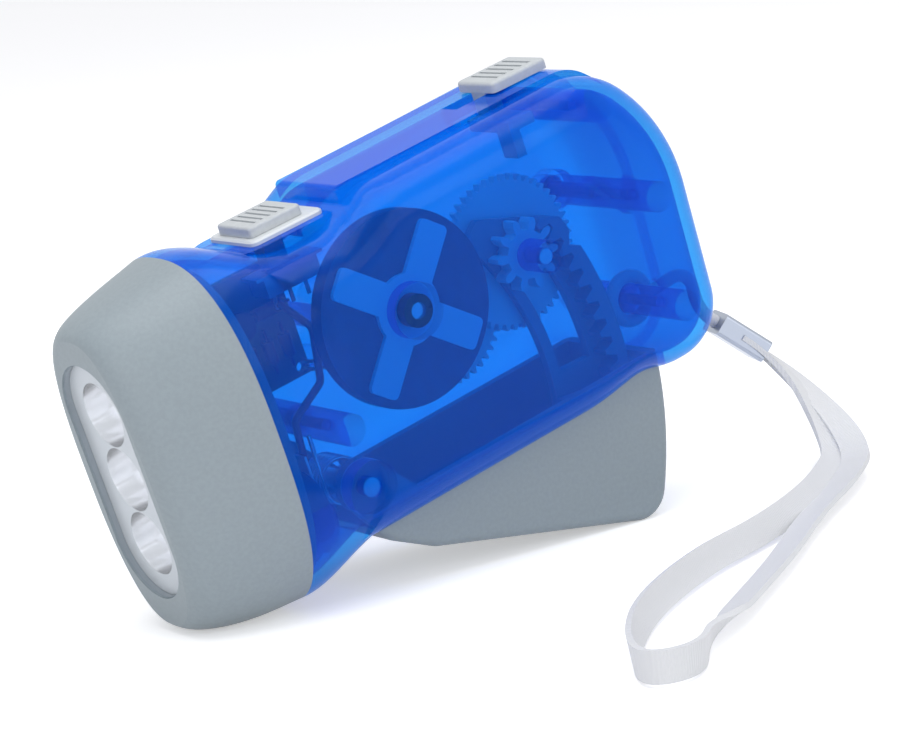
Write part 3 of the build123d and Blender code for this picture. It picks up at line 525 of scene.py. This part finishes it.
def curve_line(points):
    """The points of a NURBS curve that has the given points as its control points."""
    data = bpy.data.curves.new("guide", "CURVE")
    data.dimensions = "3D"
    spline = data.splines.new("NURBS")
    spline.points.add(len(points) - 1)
    for spot, point in zip(spline.points, points):
        spot.co = (*point, 1)
    spline.order_u = 3
    spline.use_endpoint_u = True
    spline.resolution_u = 10
    guide = bpy.data.objects.new("guide", data)
    bpy.context.scene.collection.objects.link(guide)
    mesh = bpy.data.meshes.new_from_object(guide)
    line = [v.co.copy() for v in mesh.vertices]
    bpy.data.objects.remove(guide)
    return line


strap_line = curve_line(strap_route)

# %% [markdown]
# The tape stands on its edge at the far turn of the loop and lies over near the crimp, so its
# width turns slowly along the way. A strip of cross sections is bridged into a band: each
# section is a thin rectangle across the line, turned by its own angle.

# %% The flat tape
TAPE_WIDE = 0.0047
TAPE_THIN = 0.0009
OFF_FLOOR = 0.0006
TURNS = [(0.0, 90), (0.08, 80), (0.2, 40), (0.3, 25), (0.42, 18), (0.5, 0), (0.54, 10), (0.6, 72),
         (0.8, 75), (0.92, 80), (1.0, 90)]


def turn_at(share):
    """How far the tape leans over at a share of its length, in degrees; 0 stands on edge."""
    for (s0, a0), (s1, a1) in zip(TURNS, TURNS[1:]):
        if share <= s1:
            return a0 + (a1 - a0) * (share - s0) / (s1 - s0)
    return TURNS[-1][1]


def tape(line, name):
    """A band along a line: four corners per section, joined into faces."""
    verts, faces = [], []
    total = sum((b - a).length for a, b in zip(line, line[1:]))
    done = 0.0
    for index, point in enumerate(line):
        ahead = line[min(index + 1, len(line) - 1)] - line[max(index - 1, 0)]
        ahead.normalize()
        if index:
            done += (point - line[index - 1]).length
        side = ahead.cross(Vector((0, 0, 1))).normalized()
        up = side.cross(ahead).normalized()
        lean = radians(turn_at(done / total))
        wide = (up * cos(lean) + side * sin(lean)) * TAPE_WIDE / 2
        thin = wide.cross(ahead).normalized() * TAPE_THIN / 2
        lift = Vector((0, 0, max(0.0, abs(wide.z) + OFF_FLOOR - point.z)))
        for corner in (wide + thin, wide - thin, -wide - thin, -wide + thin):
            verts.append(point + lift + corner)
    for index in range(len(line) - 1):
        a, b = 4 * index, 4 * index + 4
        for k in range(4):
            n = (k + 1) % 4
            faces.append((a + k, b + k, b + n, a + n))
    faces.append((0, 1, 2, 3))
    last = 4 * (len(line) - 1)
    faces.append((last + 3, last + 2, last + 1, last))
    mesh = bpy.data.meshes.new(name)
    mesh.from_pydata(verts, [], faces)
    band = bpy.data.objects.new(name, mesh)
    bpy.context.scene.collection.objects.link(band)
    return band


strap_tape = tape(strap_line, "strap_tape")
print("tape:", len(strap_tape.data.polygons), "faces")

# %% [markdown]
# The tape's faces are turned outwards, its long edges smoothed, and it rides on the body with
# the crimp.

# %% The tape as a cord
strap_tape.data.materials.append(strap_white)
clear_selection()
strap_tape.select_set(True)
bpy.context.view_layer.objects.active = strap_tape
bpy.ops.object.mode_set(mode="EDIT")
bpy.ops.mesh.select_all(action="SELECT")
bpy.ops.mesh.normals_make_consistent(inside=False)
bpy.ops.object.mode_set(mode="OBJECT")
bpy.ops.object.shade_smooth_by_angle(angle=radians(50))
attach(strap_tape, "frame")
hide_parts("wrist_strap")
print("strap tape rides on the frame")

# %% [markdown]
# ## Floor, light and camera
#
# The photo is a studio shot on white, with a faint shadow under the torch. The floor glows a
# little to the camera and in what shines, so that it stays white outside that shadow.

# %% Floor and backdrop
FLOOR_GLOW = 0.42
bpy.ops.mesh.primitive_plane_add(size=4, location=(0, 0, 0))
floor = bpy.context.object
floor.name = "floor"
floor_white = bpy.data.materials.new("floor white")
floor_white.use_nodes = True
tree = floor_white.node_tree
shader = tree.nodes["Principled BSDF"]
shader.inputs["Base Color"].default_value = (0.93, 0.93, 0.94, 1)
shader.inputs["Roughness"].default_value = 0.9
rays = tree.nodes.new("ShaderNodeLightPath")
glow = tree.nodes.new("ShaderNodeMath")
glow.operation = "MULTIPLY"
glow.inputs[1].default_value = FLOOR_GLOW
seen = tree.nodes.new("ShaderNodeMath")
seen.operation = "MAXIMUM"
tree.links.new(rays.outputs["Is Camera Ray"], seen.inputs[0])
tree.links.new(rays.outputs["Is Glossy Ray"], seen.inputs[1])
tree.links.new(seen.outputs["Value"], glow.inputs[0])
shader.inputs["Emission Color"].default_value = (1, 1, 1, 1)
tree.links.new(glow.outputs["Value"], shader.inputs["Emission Strength"])
floor.data.materials.append(floor_white)
print("floor laid")

# %% [markdown]
# The room is white where the camera looks at it, in what shines, and through what is clear. To
# all else it gives a plain mid light, or the shadows on the floor would be washed out.

# %% World


def pale_world():
    """White to camera, glossy and transmission rays, and a plain mid light to the rest."""
    world = bpy.data.worlds.new("pale room")
    bpy.context.scene.world = world
    world.use_nodes = True
    tree = world.node_tree
    backdrop = tree.nodes["Background"]
    backdrop.inputs["Color"].default_value = (0.95, 0.96, 1.0, 1)
    backdrop.inputs["Strength"].default_value = 0.5
    seen = tree.nodes.new("ShaderNodeBackground")
    seen.inputs["Color"].default_value = (1, 1, 1, 1)
    seen.inputs["Strength"].default_value = 1.0
    rays = tree.nodes.new("ShaderNodeLightPath")
    most = tree.nodes.new("ShaderNodeMath")
    most.operation = "MAXIMUM"
    mix = tree.nodes.new("ShaderNodeMixShader")
    tree.links.new(rays.outputs["Is Camera Ray"], most.inputs[0])
    tree.links.new(rays.outputs["Is Transmission Ray"], most.inputs[1])
    shine = tree.nodes.new("ShaderNodeMath")
    shine.operation = "MAXIMUM"
    tree.links.new(most.outputs["Value"], shine.inputs[0])
    tree.links.new(rays.outputs["Is Glossy Ray"], shine.inputs[1])
    tree.links.new(shine.outputs["Value"], mix.inputs["Fac"])
    tree.links.new(backdrop.outputs["Background"], mix.inputs[1])
    tree.links.new(seen.outputs["Background"], mix.inputs[2])
    tree.links.new(mix.outputs["Shader"], tree.nodes["World Output"].inputs["Surface"])


pale_world()
print("room is pale")

# %% [markdown]
# Three big soft lamps: one overhead, and two weak ones to the left and in front that open up
# the sides.

# %% Studio lamps
TORCH_MIDDLE = (0, 0, 0.03)


def soft_lamp(name, spot, aim, size, power):
    """A square area lamp that looks at a point."""
    data = bpy.data.lights.new(name, "AREA")
    data.size = size
    data.energy = power
    lamp = bpy.data.objects.new(name, data)
    lamp.location = spot
    lamp.rotation_euler = (Vector(aim) - Vector(spot)).to_track_quat("-Z", "Y").to_euler()
    bpy.context.scene.collection.objects.link(lamp)


soft_lamp("overhead", (-0.05, -0.1, 0.75), TORCH_MIDDLE, 0.7, 3.6)
soft_lamp("left fill", (-0.7, -0.45, 0.3), TORCH_MIDDLE, 0.5, 1.3)
soft_lamp("front fill", (0.25, -0.8, 0.35), TORCH_MIDDLE, 0.5, 1.2)
print("three lamps lit")

# %% [markdown]
# The camera stands where the photo was taken from: in front of the nose, on the flywheel's
# side and a little above, with the frame rolled a few degrees. Its place and axes were found
# by fitting the head's seam, the window, the flywheel and the tail to the picture.

# %% Camera
PHOTO_WIDTH = 899
FOCAL_PIXELS = 3000.7
SHIFT_PIXELS = (0.11, 0.84)
SENSOR_WIDTH = 36
eye = place(-170.10, -386.19, 141.90)
right = heading(0.76495, -0.57060, -0.29880).normalized()
forward = heading(0.48467, 0.81545, -0.31644).normalized()
up = right.cross(forward).normalized()
lens_data = bpy.data.cameras.new("camera")
lens_data.sensor_width = SENSOR_WIDTH
lens_data.lens = FOCAL_PIXELS / PHOTO_WIDTH * SENSOR_WIDTH
lens_data.shift_x = SHIFT_PIXELS[0] / PHOTO_WIDTH
lens_data.shift_y = SHIFT_PIXELS[1] / PHOTO_WIDTH
camera = bpy.data.objects.new("camera", lens_data)
camera.matrix_world = Matrix((
    (right.x, up.x, -forward.x, eye.x),
    (right.y, up.y, -forward.y, eye.y),
    (right.z, up.z, -forward.z, eye.z),
    (0, 0, 0, 1)))
bpy.context.scene.collection.objects.link(camera)
bpy.context.scene.camera = camera
bpy.context.scene.view_settings.view_transform = "Standard"
print("camera at", [round(v, 3) for v in eye])
